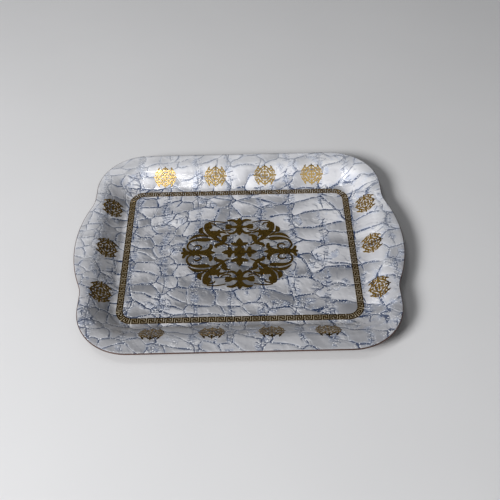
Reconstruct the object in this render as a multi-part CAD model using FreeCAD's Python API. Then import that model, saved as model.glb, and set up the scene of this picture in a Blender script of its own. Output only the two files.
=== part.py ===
"""Moulded laminate serving tray: brown core, pearl decor sheet and gold transfers.

Frame: millimetres, +Z up, X along the long side. The origin is on the table, under the middle of the floor.
The upper face of the decor on the floor lies at the height CORE_THICKNESS + DECOR_THICKNESS.
"""
import FreeCAD, Part
import math
import os

# Floor, from the foot of one wall to the foot of the wall across
FLOOR_LENGTH = 292.0
FLOOR_WIDTH = 218.0
FLOOR_CORNER_RADIUS = 20.5

# Wall section, measured on the upper face of the decor
RIM_HEIGHT = 19.0          # rim above floor
WALL_SLOPE = 34.0          # degrees from level, on the straight middle stretch
FOOT_BEND_RADIUS = 10.0    # hollow bend from floor to wall
RIM_BEND_RADIUS = 26.0     # soft round bend from wall to rim

# Rim outline
SIDE_RIM_WIDTH = 13.3      # level rim along the long sides
END_RIM_WIDTH = 1.2        # level rim at the ends, where it is narrowest
RIM_CORNER_RADIUS = 63.5
LOBE_REACH = 15.9          # how far a handle lobe stands out beyond the end
LOBE_SPAN = 159.6          # width of a lobe with the hollow blends beside it
LOBE_BLEND_RADIUS = 40.0

# Layers
CORE_THICKNESS = 2.2
DECOR_THICKNESS = 0.3
TRANSFER_THICKNESS = 0.15
EDGE_BEVEL = 0.8           # bevel of the bare core edge, above and below
DECOR_EDGE_CLEARANCE = 0.1  # decor stops this far inside the bevel

# Key border on the floor
BORDER_INSET = 0.9         # from the foot of the wall
BORDER_WIDTH = 7.8

# Round medallions on the walls
MEDALLION_DIAMETER = 30.0
MEDALLION_SIDES = 24       # the round is cut as a fine polygon, which keeps its facets few
BACK_RUN = 18.0            # level distances of the medallions' centres outward from the foot of the wall
FRONT_RUN = 21.4
END_RUN = 18.2
LONG_SIDE_PLACES = (-99.4, -31.5, 35.4, 98.7)   # the middle two stand a little to the right
LEFT_PLACES = (70.7, 1.5, -67.7)                # the left row stands a little to the back
RIGHT_PLACES = (69.2, 0.0, -69.2)

# Centre ornament: round lobes of its outline in one quarter, as (x, y, radius)
ORNAMENT_SHIFT = -1.5      # middle of the ornament, in front of the middle of the floor
ORNAMENT_LOBES = (
    (58.5, 0.0, 13.0),
    (46.0, 21.0, 21.0),
    (34.5, 37.0, 18.5),
    (15.5, 40.0, 14.5),
    (0.0, 43.5, 13.5),
    (18.0, 0.0, 36.0),
)

# Worked out from the values above
SLOPE = math.radians(WALL_SLOPE)
BEND_RISE = (FOOT_BEND_RADIUS + RIM_BEND_RADIUS) * (1.0 - math.cos(SLOPE))
STRAIGHT = (RIM_HEIGHT - BEND_RISE) / math.sin(SLOPE)
WALL_RUN = (FOOT_BEND_RADIUS + RIM_BEND_RADIUS) * math.sin(SLOPE) + STRAIGHT * math.cos(SLOPE)
FACE_Z = CORE_THICKNESS + DECOR_THICKNESS
CORNER_X = FLOOR_LENGTH / 2.0 - FLOOR_CORNER_RADIUS
CORNER_Y = FLOOR_WIDTH / 2.0 - FLOOR_CORNER_RADIUS
SIDE_Y = FLOOR_WIDTH / 2.0 + WALL_RUN + SIDE_RIM_WIDTH
SHOULDER_X = FLOOR_LENGTH / 2.0 + WALL_RUN + END_RIM_WIDTH
BLANK_MARGIN = 6.0
BLANK_RUN = WALL_RUN + max(SIDE_RIM_WIDTH, END_RIM_WIDTH + LOBE_REACH) + BLANK_MARGIN

UP = FreeCAD.Vector(0, 0, 1)


def section_points(lift):
    """Points of the section on a face lifted square off the decor's upper face, as (run, height).

    Run is measured outward from the foot of the wall. The foot bend turns about a centre above the face and the
    rim bend about one below it, so lifting the face shrinks the first radius and grows the second.
    """
    foot = FOOT_BEND_RADIUS - lift
    rim = RIM_BEND_RADIUS + lift
    half = SLOPE / 2.0
    rim_centre = RIM_HEIGHT - RIM_BEND_RADIUS
    return [
        (-FLOOR_CORNER_RADIUS, lift),
        (0.0, lift),
        (foot * math.sin(half), FOOT_BEND_RADIUS - foot * math.cos(half)),
        (foot * math.sin(SLOPE), FOOT_BEND_RADIUS - foot * math.cos(SLOPE)),
        (WALL_RUN - rim * math.sin(SLOPE), rim_centre + rim * math.cos(SLOPE)),
        (WALL_RUN - rim * math.sin(half), rim_centre + rim * math.cos(half)),
        (WALL_RUN, RIM_HEIGHT + lift),
        (BLANK_RUN, RIM_HEIGHT + lift),
    ]


def section_edges(lift, place):
    """Edges of one section line: floor, foot bend, wall, rim bend, rim. place turns (run, height) into a point."""
    p = [place(run, height) for run, height in section_points(lift)]
    return [
        Part.makeLine(p[0], p[1]),
        Part.Arc(p[1], p[2], p[3]).toShape(),
        Part.makeLine(p[3], p[4]),
        Part.Arc(p[4], p[5], p[6]).toShape(),
        Part.makeLine(p[6], p[7]),
    ]


def section_face(low, high, place):
    """Closed face of the section between two lifts."""
    lower = section_edges(low, place)
    upper = section_edges(high, place)
    inner = Part.makeLine(lower[0].Vertexes[0].Point, upper[0].Vertexes[0].Point)
    outer = Part.makeLine(lower[-1].Vertexes[-1].Point, upper[-1].Vertexes[-1].Point)
    edges = Part.__sortEdges__(lower + [outer] + upper + [inner])
    return Part.Face(Part.Wire(edges))


def long_side(low, high, sign):
    """Layer between two lifts along the straight of one long side; sign is +1 for the back."""
    def place(run, height):
        return FreeCAD.Vector(-CORNER_X, sign * (FLOOR_WIDTH / 2.0 + run), FACE_Z + height)
    return section_face(low, high, place).extrude(FreeCAD.Vector(2.0 * CORNER_X, 0, 0))


def end_side(low, high, sign):
    """Layer between two lifts along the straight of one end; sign is +1 for the right."""
    def place(run, height):
        return FreeCAD.Vector(sign * (FLOOR_LENGTH / 2.0 + run), -CORNER_Y, FACE_Z + height)
    return section_face(low, high, place).extrude(FreeCAD.Vector(0, 2.0 * CORNER_Y, 0))


def corner(low, high, sign_x, sign_y):
    """Layer between two lifts round one corner: the end's section turned a quarter about the corner's centre."""
    def place(run, height):
        return FreeCAD.Vector(sign_x * (FLOOR_LENGTH / 2.0 + run), sign_y * CORNER_Y, FACE_Z + height)
    centre = FreeCAD.Vector(sign_x * CORNER_X, sign_y * CORNER_Y, 0)
    return section_face(low, high, place).revolve(centre, UP, 90.0 * sign_x * sign_y)


def pressed_layer(low, high):
    """Whole layer between two lifts, before its edge is trimmed."""
    corner_at = FreeCAD.Vector(-CORNER_X, -CORNER_Y, FACE_Z + low)
    middle = Part.makeBox(2.0 * CORNER_X, 2.0 * CORNER_Y, high - low, corner_at)
    pieces = []
    for sign in (1, -1):
        pieces.append(long_side(low, high, sign))
        pieces.append(end_side(low, high, sign))
        for sign_y in (1, -1):
            pieces.append(corner(low, high, sign, sign_y))
    return middle.multiFuse(pieces).removeSplitter()


def rim_outline(inset):
    """Closed outline of the rim, moved inward by inset, as a wire at height 0.

    Each end has a round lobe that flows through a hollow blend into the straight of the end. The lobe's radius
    follows from its reach, its span and the blend radius, so that the three arcs meet tangent.
    """
    half_span = LOBE_SPAN / 2.0
    lobe = (half_span ** 2 + LOBE_REACH ** 2 - 2.0 * LOBE_BLEND_RADIUS * LOBE_REACH) / (2.0 * LOBE_REACH)
    lobe_centre = SHOULDER_X + LOBE_REACH - lobe
    blend_centre = SHOULDER_X + LOBE_BLEND_RADIUS
    turn = math.atan2(half_span, blend_centre - lobe_centre)
    blend = LOBE_BLEND_RADIUS + inset
    lobe_in = lobe - inset
    round_in = RIM_CORNER_RADIUS - inset
    corner_x = SHOULDER_X - RIM_CORNER_RADIUS
    corner_y = SIDE_Y - RIM_CORNER_RADIUS
    eighth = math.sqrt(0.5)

    tip = (lobe_centre + lobe_in, 0.0)
    lobe_end = (lobe_centre + lobe_in * math.cos(turn), lobe_in * math.sin(turn))
    blend_mid = (blend_centre - blend * math.cos(turn / 2.0), half_span - blend * math.sin(turn / 2.0))
    blend_end = (blend_centre - blend, half_span)
    end_corner = (corner_x + round_in, corner_y)
    corner_mid = (corner_x + round_in * eighth, corner_y + round_in * eighth)
    side_corner = (corner_x, corner_y + round_in)

    def at(point, sign_x, sign_y):
        return FreeCAD.Vector(sign_x * point[0], sign_y * point[1], 0)

    edges = []
    for sx in (1, -1):
        edges.append(Part.Arc(at(lobe_end, sx, 1), at(tip, sx, 1), at(lobe_end, sx, -1)).toShape())
        edges.append(Part.makeLine(at(side_corner, 1, sx), at(side_corner, -1, sx)))
        for sy in (1, -1):
            edges.append(Part.Arc(at(lobe_end, sx, sy), at(blend_mid, sx, sy), at(blend_end, sx, sy)).toShape())
            edges.append(Part.makeLine(at(blend_end, sx, sy), at(end_corner, sx, sy)))
            edges.append(Part.Arc(at(end_corner, sx, sy), at(corner_mid, sx, sy), at(side_corner, sx, sy)).toShape())
    return Part.Wire(Part.__sortEdges__(edges))


def trimmed(layer, inset):
    """Layer cut to the rim outline, moved inward by inset."""
    tall = 2.0 * (FACE_Z + RIM_HEIGHT)
    cutter = Part.Face(rim_outline(inset)).extrude(FreeCAD.Vector(0, 0, tall))
    cutter.translate(FreeCAD.Vector(0, 0, -FACE_Z))
    return only_solid(layer.common(cutter))


def only_solid(shape):
    """The one solid that a shape holds."""
    solids = shape.Solids
    if len(solids) != 1:
        raise ValueError("expected one solid, found %d" % len(solids))
    return solids[0]


def tray_core():
    """Shell under the decor, with its trimmed edge bevelled above and below."""
    shell = trimmed(pressed_layer(-FACE_Z, -DECOR_THICKNESS), 0.0)
    rim_top = FACE_Z + RIM_HEIGHT - DECOR_THICKNESS
    levels = (rim_top, rim_top - CORE_THICKNESS)
    rim_edges = []
    for edge in shell.Edges:
        box = edge.BoundBox
        flat = box.ZLength < 1e-4
        at_rim = any(abs(box.ZMin - level) < 1e-4 for level in levels)
        if flat and at_rim and on_outline(edge):
            rim_edges.append(edge)
    return only_solid(shell.makeChamfer(EDGE_BEVEL, rim_edges))


def on_outline(edge):
    """True where an edge lies on the trimmed outline, and not on the line where the rim bend begins."""
    middle = edge.valueAt((edge.FirstParameter + edge.LastParameter) / 2.0)
    foot = FreeCAD.Vector(middle.x, middle.y, 0)
    return rim_outline(0.0).distToShape(Part.Vertex(foot))[0] < 1e-3


def decor_sheet():
    """Thin sheet over the whole upper face, stopping just inside the bevelled edge."""
    return trimmed(pressed_layer(-DECOR_THICKNESS, 0.0), EDGE_BEVEL + DECOR_EDGE_CLEARANCE)


def rounded_plate(half_x, half_y, radius, thickness):
    """Flat plate with round corners, lying on the decor."""
    plate = Part.makeBox(2.0 * half_x, 2.0 * half_y, thickness, FreeCAD.Vector(-half_x, -half_y, FACE_Z))
    upright = [e for e in plate.Edges if e.BoundBox.ZLength > thickness / 2.0]
    return plate.makeFillet(radius, upright)


def key_border():
    """Closed band of even width that follows the foot of the wall."""
    outer_x = FLOOR_LENGTH / 2.0 - BORDER_INSET
    outer_y = FLOOR_WIDTH / 2.0 - BORDER_INSET
    radius = FLOOR_CORNER_RADIUS - BORDER_INSET
    outer = rounded_plate(outer_x, outer_y, radius, TRANSFER_THICKNESS)
    inner_x = outer_x - BORDER_WIDTH
    inner_y = outer_y - BORDER_WIDTH
    inner = rounded_plate(inner_x, inner_y, radius - BORDER_WIDTH, TRANSFER_THICKNESS)
    return only_solid(outer.cut(inner))


def centre_ornament():
    """Scalloped transfer: round lobes mirrored to the four quarters and joined."""
    discs = []
    for x, y, radius in ORNAMENT_LOBES:
        for sign_x in ((1, -1) if x else (1,)):
            for sign_y in ((1, -1) if y else (1,)):
                middle = FreeCAD.Vector(sign_x * x, ORNAMENT_SHIFT + sign_y * y, FACE_Z)
                discs.append(Part.makeCylinder(radius, TRANSFER_THICKNESS, middle))
    return only_solid(discs[0].multiFuse(discs[1:]).removeSplitter())


def wall_tangent(run):
    """Height and slope angle of the decor's face at a run from the foot of the wall."""
    foot_end = FOOT_BEND_RADIUS * math.sin(SLOPE)
    rim_start = WALL_RUN - RIM_BEND_RADIUS * math.sin(SLOPE)
    if run < foot_end:
        angle = math.asin(run / FOOT_BEND_RADIUS)
        return FOOT_BEND_RADIUS * (1.0 - math.cos(angle)), angle
    if run < rim_start:
        foot_rise = FOOT_BEND_RADIUS * (1.0 - math.cos(SLOPE))
        return foot_rise + (run - foot_end) * math.tan(SLOPE), SLOPE
    angle = math.asin((WALL_RUN - run) / RIM_BEND_RADIUS)
    return RIM_HEIGHT - RIM_BEND_RADIUS * (1.0 - math.cos(angle)), angle


def round_punch(centre, normal):
    """Prism of many sides about a line through the centre, reaching as far each way as the round does across."""
    reach = MEDALLION_DIAMETER / 2.0
    first = normal.cross(UP).normalize()
    second = normal.cross(first)
    corners = []
    for number in range(MEDALLION_SIDES):
        turn = 2.0 * math.pi * (number + 0.5) / MEDALLION_SIDES
        corners.append(centre - normal * reach + (first * math.cos(turn) + second * math.sin(turn)) * reach)
    return Part.Face(Part.makePolygon(corners + corners[:1])).extrude(normal * 2.0 * reach)


def medallion(side, out, run, along):
    """Round transfer bent to the wall: a side's thin layer cut by a punch square to the wall.

    out is the level direction away from the middle of the tray, run the centre's level distance from the foot of
    the wall, and along the place along that side.
    """
    height, angle = wall_tangent(run)
    half = FLOOR_WIDTH / 2.0 if out.x == 0 else FLOOR_LENGTH / 2.0
    level = out * (half + run) + FreeCAD.Vector(abs(out.y), abs(out.x), 0) * along
    centre = level + UP * (FACE_Z + height)
    normal = UP * math.cos(angle) - out * math.sin(angle)
    return only_solid(side.common(round_punch(centre, normal)))


def medallions():
    """All the wall transfers, named by side and counted from the left or from the back."""
    across = FreeCAD.Vector(1, 0, 0)
    deep = FreeCAD.Vector(0, 1, 0)
    rows = (
        ("back", long_side(0.0, TRANSFER_THICKNESS, 1), deep, BACK_RUN, LONG_SIDE_PLACES),
        ("front", long_side(0.0, TRANSFER_THICKNESS, -1), -deep, FRONT_RUN, LONG_SIDE_PLACES),
        ("left", end_side(0.0, TRANSFER_THICKNESS, -1), -across, END_RUN, LEFT_PLACES),
        ("right", end_side(0.0, TRANSFER_THICKNESS, 1), across, END_RUN, RIGHT_PLACES),
    )
    named = {}
    for name, side, out, run, places in rows:
        for number, along in enumerate(places, start=1):
            named["medallion_%s_%d" % (name, number)] = medallion(side, out, run, along)
    return named


def build():
    """Every piece of the tray by node name."""
    nodes = {
        "tray_core": tray_core(),
        "decor_sheet": decor_sheet(),
        "key_border": key_border(),
        "centre_ornament": centre_ornament(),
    }
    nodes.update(medallions())
    return nodes


os.makedirs("parts", exist_ok=True)
for node, solid in build().items():
    solid.exportStep("parts/%s.step" % node)
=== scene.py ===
import bpy
import math
import numpy as np
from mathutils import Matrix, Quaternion, Vector


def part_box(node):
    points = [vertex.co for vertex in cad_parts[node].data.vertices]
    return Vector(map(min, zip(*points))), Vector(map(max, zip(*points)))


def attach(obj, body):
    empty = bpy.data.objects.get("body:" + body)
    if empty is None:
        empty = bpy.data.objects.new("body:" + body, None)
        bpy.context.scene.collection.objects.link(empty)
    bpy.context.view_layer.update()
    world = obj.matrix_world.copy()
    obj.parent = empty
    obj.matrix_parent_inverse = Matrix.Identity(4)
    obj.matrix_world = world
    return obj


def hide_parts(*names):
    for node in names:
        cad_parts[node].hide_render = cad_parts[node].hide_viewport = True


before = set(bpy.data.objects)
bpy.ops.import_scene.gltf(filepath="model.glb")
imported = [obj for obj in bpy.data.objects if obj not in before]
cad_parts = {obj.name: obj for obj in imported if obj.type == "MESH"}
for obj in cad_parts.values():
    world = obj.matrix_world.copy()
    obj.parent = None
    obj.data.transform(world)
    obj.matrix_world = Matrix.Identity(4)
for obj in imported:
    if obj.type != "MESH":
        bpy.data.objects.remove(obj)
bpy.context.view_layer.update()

# A serving tray: a pressed laminate shell under a pearl decor sheet, with a gold key border, a scroll
# ornament and filigree medallions on it. The tray's own lengths are in millimetres until mesh_piece, and
# the middle of its floor is above the origin.

MM = 0.001

# Wall section of the pressed tray, measured on the upper face of the decor
CORNER_X = 125.5           # centres of the floor's corners
CORNER_Y = 88.5
FLOOR_RADIUS = 20.5        # radius of those corners
RIM_HEIGHT = 19.0          # of the rim above the floor
SLOPE = math.radians(34.0)
FOOT_BEND = 10.0           # radius of the hollow bend at the foot of the wall
RIM_BEND = 26.0            # and of the round bend to the rim
BEND_RISE = (FOOT_BEND + RIM_BEND) * (1.0 - math.cos(SLOPE))
STRAIGHT = (RIM_HEIGHT - BEND_RISE) / math.sin(SLOPE)
FOOT_RUN = FOOT_BEND * math.sin(SLOPE)
RIM_RUN = FOOT_RUN + STRAIGHT * math.cos(SLOPE)
WALL_RUN = RIM_RUN + RIM_BEND * math.sin(SLOPE)

# Rim outline
SIDE_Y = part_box("tray_core")[1].y / MM
TIP_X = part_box("tray_core")[1].x / MM
LOBE_REACH = 15.9          # how far an end's lobe stands out past the straight of that end
LOBE_HALF_SPAN = 79.8
LOBE_BLEND = 40.0          # radius of the hollow between a lobe and the straight of its end
RIM_CORNER = 63.5
SHOULDER_X = TIP_X - LOBE_REACH

# Layers
CORE_THICKNESS = 2.2
DECOR_THICKNESS = 0.3
FACE_Z = CORE_THICKNESS + DECOR_THICKNESS
TRANSFER_THICKNESS = 0.15
EDGE_ROUND = 0.8           # radius of the bare core's edge, above and below
EDGE_TURNS = np.radians(np.linspace(0.0, 90.0, 6))
DECOR_INSET = 0.9          # decor stops this far inside the core's edge
DECOR_EDGE = ((0.25, 0.0), (0.08, -0.08), (0.0, -0.25), (0.0, -DECOR_THICKNESS))   # run inward, lift

# Steps of the shells' grids
STATION_STEPS = (24, 20, 24, 20, 48, 20, 24, 20, 24)   # from each station of walk to the next
FLOOR_SHARES = np.array([0.15, 0.35, 0.55, 0.75, 0.9, 0.97])
BEND_SHARES = np.linspace(0.0, 1.0, 9)
SLOPE_STEPS = 6
RIM_SHARES = np.array([0.25, 0.5, 0.75])
RIM_HALVINGS = 40          # steps of the search for the rim
SHELL_CREASE = 40.0        # degrees, past which an edge is shaded sharp
TRANSFER_CREASE = 25.0

# Key border: eight turns a unit on a lattice of four columns and four rows
KEY_SIDE_UNITS = 25        # units along a long side, an end and a corner
KEY_END_UNITS = 18.5
KEY_CORNER_UNITS = 2.25
KEY_SHIFT = -0.19          # units, round the tray from the middle of the right end
KEY_MIDDLE = 15.7          # radius of the band's middle line at the corners
KEY_COLUMNS = 4
KEY_MIDDLE_ROW = 1.5
KEY_ROW = 2.13             # between two rows
KEY_LINE = 1.62            # width of the line
KEY_TURNS = ((0, 0), (0, 3), (3, 3), (3, 1), (2, 1), (2, 2), (1, 2), (1, 0))

# Medallions
LONG_SIDE_PLACES = (-99.4, -31.5, 35.4, 98.7)
MEDALLION_ROWS = {         # run of the centres from the foot of the wall, and their places along the side
    "back": (18.0, LONG_SIDE_PLACES),
    "front": (21.4, LONG_SIDE_PLACES),
    "left": (18.2, (70.7, 1.5, -67.7)),
    "right": (18.2, (69.2, 0.0, -69.2)),
}
SIDE_OUT = {"back": (0, 1), "front": (0, -1), "left": (-1, 0), "right": (1, 0)}
RIM_REACH = 5.0            # how far past the wall a medallion may lie
WALL_STEPS = 400           # steps in which the wall's section is measured

# Strokes
ORNAMENT_SHIFT = -1.5      # middle of the ornament, in front of the middle of the floor
ORNAMENT_STEPS = 6         # from each point of a stroke to the next
FILIGREE_STEPS = 3
FOIL_SPREAD = 0.38         # how far the ornament's foil runs past its drawn strokes
FILIGREE_SPREAD = 0.23     # and the medallions'
LEAST_HALF_WIDTH = 0.05
STROKE_ACROSS = np.array([-1.0, -1.0, 0.0, 1.0, 1.0])  # profile: shares of the half width
STROKE_RISE = np.array([0.0, 0.88, 1.0, 0.88, 0.0])    # and of the thickness
CAP_TURNS = np.radians([80.0, 55.0, 28.0])             # round end, from its tip
LEVELS = 9                 # crossing strokes take turns at this many levels
LEVEL_STEP = 0.02          # which are this share of the thickness apart

# Strokes of the centre ornament's first quarter, which is mirrored to the others: points, then half widths
ORNAMENT_STROKES = (
    # middle quatrefoil and its leaves
    (((0, 0), (4, 0), (8, 0)), (5.2, 3.8, 1.6)),
    (((0, 0), (0, 5), (0, 10)), (4.8, 3.6, 1.8)),
    (((1, 1), (4.4, 4.4)), (2.6, 2.0)),
    (((9, 0), (13, 0), (17, 0), (20.9, 0)), (1.6, 3.2, 3.3, 1.0)),
    (((10.8, 1.0), (12.2, 3.6), (12.7, 6.8)), (2.2, 2.4, 1.8)),
    (((0, 9), (0, 14), (0, 18.6), (0, 22.4)), (1.8, 4.0, 3.4, 0.8)),
    (((0, 12), (5.2, 13.2), (9.2, 14.2)), (2.4, 2.6, 1.6)),
    # finial: buds, bar and tendrils
    (((0, 49), (0, 52.9), (0, 56.4)), (1.8, 4.3, 1.6)),
    (((0, 29.8), (0, 33.6), (0, 38)), (1.3, 3.5, 2.0)),
    (((0, 42.9), (7, 42.9), (13, 43.1), (15.8, 43.3)), (3.4, 1.6, 2.0, 2.2)),
    (((0, 38), (0, 43), (0, 49)), (1.7, 2.7, 1.6)),
    (((9.5, 43.6), (13.4, 45.3), (16.8, 46.6)), (1.3, 1.9, 0.8)),
    (((9.5, 42.4), (13.4, 41.2), (16.8, 40.2)), (1.3, 1.8, 0.8)),
    (((1.6, 47.6), (4.0, 51.8), (8.6, 54.8), (14.6, 54.4)), (1.4, 1.8, 1.8, 0.9)),
    (((1.8, 39.8), (4.2, 35.2), (8.2, 31.9), (12.2, 31.8), (15.0, 33.6)), (1.4, 1.5, 1.5, 1.2, 0.6)),
    (((10.6, 38.2), (13, 36.6), (17.5, 36.2), (21.5, 38), (24, 41)), (0.5, 0.7, 0.8, 0.6, 0.3)),
    (((17.5, 50.7), (23, 52.1), (31, 53.1), (39, 52.2)), (0.4, 0.5, 0.6, 0.6)),
    # corner acanthus
    (((39.4, 49.9), (42.0, 47.2), (42.0, 41.0), (39.2, 34.5), (33.3, 27.5), (27.6, 22.0), (21.9, 17.3)),
     (1.3, 2.6, 2.8, 2.9, 2.9, 1.9, 0.6)),
    (((38.8, 48.0), (37.3, 44.6), (37.4, 42.4)), (1.6, 2.1, 2.1)),
    (((39.3, 49.9), (35.1, 49.4), (31.6, 48.4), (30.0, 45.7)), (1.1, 0.85, 0.75, 0.3)),
    (((36.0, 32.0), (32.2, 32.7), (28.0, 32.6), (24.8, 33.7)), (3.0, 3.9, 3.1, 1.4)),
    (((27.6, 34.2), (26.4, 36.4), (25.9, 38.0)), (2.0, 1.4, 0.7)),
    (((33.4, 33.6), (35.0, 35.0)), (2.4, 1.9)),
    (((30.4, 30.6), (26.4, 29.6), (23.8, 26.6)), (2.6, 1.8, 0.6)),
    (((25.4, 34.6), (21.2, 34.2), (17.2, 32.4)), (1.8, 1.4, 0.7)),
    # outer bud on its stem
    (((47.2, 43.2), (49.1, 39.8), (49.1, 36.6), (48.8, 34.6)), (0.4, 2.3, 2.7, 2.1)),
    (((47.6, 35.0), (43.8, 31.2), (38.6, 26.8)), (1.0, 0.9, 0.6)),
    # small leaf, hook and spur
    (((12.3, 28.5), (16.6, 27.6), (19.1, 24.4), (19.3, 21.0), (20.6, 16.0)), (0.8, 1.8, 3.4, 2.9, 1.2)),
    (((20.8, 14.7), (24.6, 13.8), (28.0, 12.8), (30.1, 10.2), (29.4, 8.4)), (1.6, 2.2, 2.3, 1.8, 0.9)),
    (((20.4, 15.2), (16.8, 13.2), (13.6, 11.6)), (1.0, 0.9, 0.5)),
    (((23.9, 17.4), (28.4, 20.4), (33.4, 22.0), (38.2, 22.5)), (0.7, 0.7, 0.7, 0.6)),
    # scroll: outer leaf, main band and its eye
    (((38.8, 27.2), (43, 28.2), (47, 28.9), (51, 29.2), (55, 28.3), (59, 26.1), (63.3, 22.3)),
     (0.6, 0.8, 1.4, 2.0, 1.9, 1.3, 0.3)),
    (((39.2, 21.6), (44, 21.6), (52, 21.8), (58.6, 20.5), (63.2, 17.4), (65.5, 11.6), (64.0, 6.4),
      (60.2, 3.2)), (2.2, 2.8, 2.2, 1.5, 1.1, 0.9, 0.9, 1.1)),
    (((54.0, 3.4), (49.6, 5.2), (47.9, 8.6), (50.2, 11.9), (54.2, 12.5), (57.0, 10.2)),
     (1.0, 0.95, 0.9, 0.85, 0.75, 0.5)),
    # hub and the leaves along the long axis
    (((52, 0), (57, 0), (61, 0)), (2.2, 3.8, 2.4)),
    (((57, 1), (57.2, 4.0)), (2.8, 1.5)),
    (((60, 0), (66, 0), (71.4, 0)), (2.6, 2.5, 1.6)),
    (((63.4, 0.9), (66.8, 2.2), (69.0, 4.2), (70.0, 7.2)), (1.4, 1.6, 1.8, 1.5)),
    (((54, 0), (46, 0), (38.0, 0), (31.4, 0)), (2.2, 2.6, 3.3, 0.9)),
    (((50, 1.2), (42.6, 2.6), (37.8, 5.2), (35.8, 9.2), (36.2, 12.6)), (1.6, 1.9, 2.4, 2.3, 1.5)),
)

# Strokes of a medallion's first quarter
MEDALLION_STROKES = (
    # cross of the middle
    (((0, 0), (1.6, 0), (2.9, 0), (4.2, 0)), (1.3, 1.0, 1.5, 0.6)),
    (((0, 1.2), (0, 2.2), (0, 3.4), (0, 5.7)), (0.6, 0.8, 1.75, 0.3)),
    # bar of the side, with a leaf that hangs from it
    (((7.5, 0), (8.4, 0), (10.5, 0), (14.4, 0)), (1.7, 1.35, 1.1, 1.0)),
    (((8.3, 0.8), (7.3, 1.9), (6.1, 2.7), (5.2, 3.5)), (0.9, 0.7, 0.7, 0.6)),
    (((5.2, 3.3), (4.5, 5.0), (3.5, 7.5)), (0.7, 1.05, 0.45)),
    (((10.8, 1.0), (10.8, 3.0), (10.8, 4.6)), (0.5, 0.5, 0.35)),
    # bud, stem and crown of the top
    (((0, 8.1), (0, 9.2), (0, 10.4)), (0.9, 1.4, 0.8)),
    (((0, 10.4), (0, 12.0), (0, 14.4)), (0.7, 0.9, 0.35)),
    (((0.6, 12.3), (2.5, 11.4), (3.7, 9.9)), (0.6, 0.9, 0.5)),
    # bud, ring and spike on the slant
    (((3.5, 7.4), (4.2, 8.6), (5.0, 9.3)), (0.4, 0.45, 0.45)),
    (((5.0, 9.4), (6.2, 8.3), (7.4, 7.1)), (0.8, 1.35, 0.8)),
    (((6.8, 8.8), (8.2, 9.8), (9.4, 9.6)), (0.5, 0.5, 0.5)),
    (((9.4, 9.4), (9.0, 11.0), (7.9, 13.2)), (0.7, 1.05, 0.3)),
    # wing
    (((8.2, 5.5), (9.4, 6.0), (10.8, 6.9), (12.2, 6.2), (12.9, 4.9)), (0.7, 1.05, 0.95, 0.9, 0.5)),
    (((9.8, 9.2), (10.9, 8.2), (11.2, 7.2)), (0.6, 0.6, 0.6)),
    # hair strokes between them
    (((13.2, 4.6), (13.4, 3.0), (12.4, 2.4), (11.6, 3.2)), (0.3, 0.3, 0.25, 0.1)),
    (((6.6, 6.6), (8.0, 5.0), (9.2, 3.6), (9.2, 2.2)), (0.3, 0.35, 0.3, 0.1)),
    (((1.2, 5.6), (2.4, 4.6), (3.2, 3.2), (2.8, 2.0)), (0.25, 0.35, 0.3, 0.1)),
    (((1.4, 8.4), (2.4, 7.4), (3.4, 6.2)), (0.2, 0.35, 0.2)),
)


def walk(station):
    """Corner-centre point and outward direction at stations round the tray.

    The point moves straight between the four corner centres and waits at each while the direction turns a
    quarter, so any rounded rectangle is the point plus a radius times the direction. Stations: 0 middle of
    the right end, 1-2 back right corner, 3-4 back left, 5-6 front left, 7-8 front right, 9 the start again.
    """
    xs = np.array([1, 1, 1, -1, -1, -1, -1, 1, 1, 1]) * CORNER_X
    ys = np.array([0, 1, 1, 1, 1, -1, -1, -1, -1, 0]) * CORNER_Y
    turns = np.array([0, 0, 1, 1, 2, 2, 3, 3, 4, 4]) * (math.pi / 2.0)
    knots = np.arange(len(turns))
    centre = np.stack([np.interp(station, knots, xs), np.interp(station, knots, ys)], -1)
    turn = np.interp(station, knots, turns)
    return centre, np.stack([np.cos(turn), np.sin(turn)], -1)


def section(run, lift):
    """Run and height of the pressed section, lifted square off the decor's face.

    Height is 0 on the floor, a hollow arc at the foot, a straight slope, a round arc to the rim, then
    level. The angle follows from the same pieces, and a lift moves the point along the normal (-sin angle,
    cos angle).
    """
    foot = np.arcsin(np.clip(run / FOOT_BEND, 0.0, math.sin(SLOPE)))
    rim = np.arcsin(np.clip((WALL_RUN - run) / RIM_BEND, 0.0, math.sin(SLOPE)))
    angle = np.minimum(foot, rim)
    slope_run = np.clip(run, FOOT_RUN, RIM_RUN) - FOOT_RUN
    rise = FOOT_BEND * (1.0 - np.cos(foot)) + slope_run * math.tan(SLOPE)
    height = rise + RIM_BEND * (np.cos(rim) - math.cos(SLOPE))
    return run - lift * np.sin(angle), height + lift * np.cos(angle)


def inside_rim(x, y, inset):
    """How far a point is inside the rim outline moved inward by inset: negative outside.

    Within the straight of the end the edge is the lobe's arc, its hollow blend or the shoulder line;
    elsewhere it is a rounded rectangle.
    """
    x, y = np.abs(x), np.abs(y)
    lobe = (LOBE_HALF_SPAN ** 2 + LOBE_REACH ** 2 - 2 * LOBE_BLEND * LOBE_REACH) / (2 * LOBE_REACH)
    lobe_x = TIP_X - lobe
    blend_x = SHOULDER_X + LOBE_BLEND
    turn = math.atan2(LOBE_HALF_SPAN, blend_x - lobe_x)
    arc = lobe_x + np.sqrt(np.maximum((lobe - inset) ** 2 - y ** 2, 0.0))
    hollow = blend_x - np.sqrt(np.maximum((LOBE_BLEND + inset) ** 2 - (LOBE_HALF_SPAN - y) ** 2, 0.0))
    edge = np.where(y < (lobe - inset) * math.sin(turn), arc, hollow)
    edge = np.where(y > LOBE_HALF_SPAN, SHOULDER_X - inset, edge)
    out = np.stack([x - (SHOULDER_X - RIM_CORNER), y - (SIDE_Y - RIM_CORNER)])
    rounded = RIM_CORNER - inset - np.hypot(*np.maximum(out, 0.0)) - np.minimum(out.max(0), 0.0)
    return np.where(y < SIDE_Y - RIM_CORNER, edge - x, rounded)


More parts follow.
